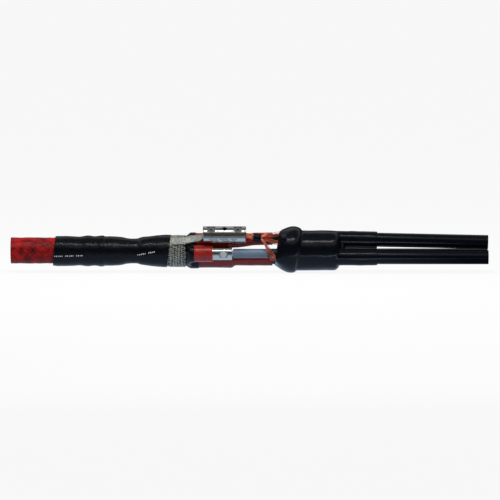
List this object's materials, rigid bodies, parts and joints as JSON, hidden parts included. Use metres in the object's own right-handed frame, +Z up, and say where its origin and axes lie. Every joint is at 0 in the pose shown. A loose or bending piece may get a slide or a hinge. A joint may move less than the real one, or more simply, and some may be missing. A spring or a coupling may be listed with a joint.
{
  "type": "transition cable joint",
  "caption": "Partly assembled medium-voltage heat-shrink joint from a paper-insulated cable to separate plastic-insulated cables, opened to show its connectors and earthing.",
  "frame": {"origin": "middle of the joint's length and width, on the surface that the boot's collar lies on", "axes": "+X along the joint from the paper cable to the plastic cables, -Y the front with the cut-back tube, +Z up"},
  "size_m": [1.1003, 0.1078, 0.1084],
  "materials": {
    "red_serving": "worn red serving with dark mottling",
    "steel_tape": "galvanised steel tape",
    "bedding_paper": "compounded paper and jute bedding",
    "lead": "dull grey lead alloy",
    "paper": "oil-impregnated paper",
    "copper": "bright copper wire",
    "black_polymer": "heat-shrunk black polyolefin, satin gloss",
    "tinned_copper": "tinned copper, knitted or braided",
    "clear_polymer": "translucent oil barrier tube",
    "mastic": "stress control mastic",
    "tinned_alloy": "tinned aluminium alloy, turned",
    "bolt_alloy": "plain machined bolts",
    "red_polymer": "heat-shrunk red insulating tube",
    "cable_sheath": "black polyethylene sheath",
    "core_screen": "black semiconducting screen",
    "cable_insulation": null,
    "aluminium": "stranded aluminium conductor"
  },
  "bodies": {
    "root": {"paper_cable_serving": "red_serving", "paper_cable_armour": "steel_tape", "paper_cable_bedding": "bedding_paper", "lead_sheath": "lead", "belt_paper": "paper", "core_fillers": "paper", "paper_core_a": "paper", "paper_core_b": "paper", "paper_core_c": "paper", "paper_conductor_a": "copper", "paper_conductor_b": "copper", "paper_conductor_c": "copper", "outer_sleeve": "black_polymer", "paper_breakout": "black_polymer", "roll_spring": "steel_tape", "mesh_wrap": "tinned_copper", "earth_braid": "tinned_copper", "oil_barrier_tube_a": "clear_polymer", "oil_barrier_tube_b": "clear_polymer", "oil_barrier_tube_c": "clear_polymer", "stress_mastic_a": "mastic", "stress_mastic_b": "mastic", "stress_mastic_c": "mastic", "phase_connector_a": "tinned_alloy", "phase_connector_b": "tinned_alloy", "phase_connector_c": "tinned_alloy", "phase_bolts_a": "bolt_alloy", "phase_bolts_b": "bolt_alloy", "phase_bolts_c": "bolt_alloy", "insulating_tube_a": "red_polymer", "insulating_tube_b": "red_polymer", "insulating_tube_c": "red_polymer", "screen_connector": "tinned_alloy", "screen_bolts": "bolt_alloy", "bunch_sleeve": "black_polymer", "cable_breakout": "black_polymer", "cable_sheath_a": "cable_sheath", "cable_sheath_b": "cable_sheath", "cable_sheath_c": "cable_sheath", "screen_wires_a": "copper", "screen_wires_b": "copper", "screen_wires_c": "copper", "core_screen_a": "core_screen", "core_screen_b": "core_screen", "core_screen_c": "core_screen", "xlpe_insulation_a": "cable_insulation", "xlpe_insulation_b": "cable_insulation", "xlpe_insulation_c": "cable_insulation", "cable_conductor_a": "aluminium", "cable_conductor_b": "aluminium", "cable_conductor_c": "aluminium"}
  },
  "joints": []
}
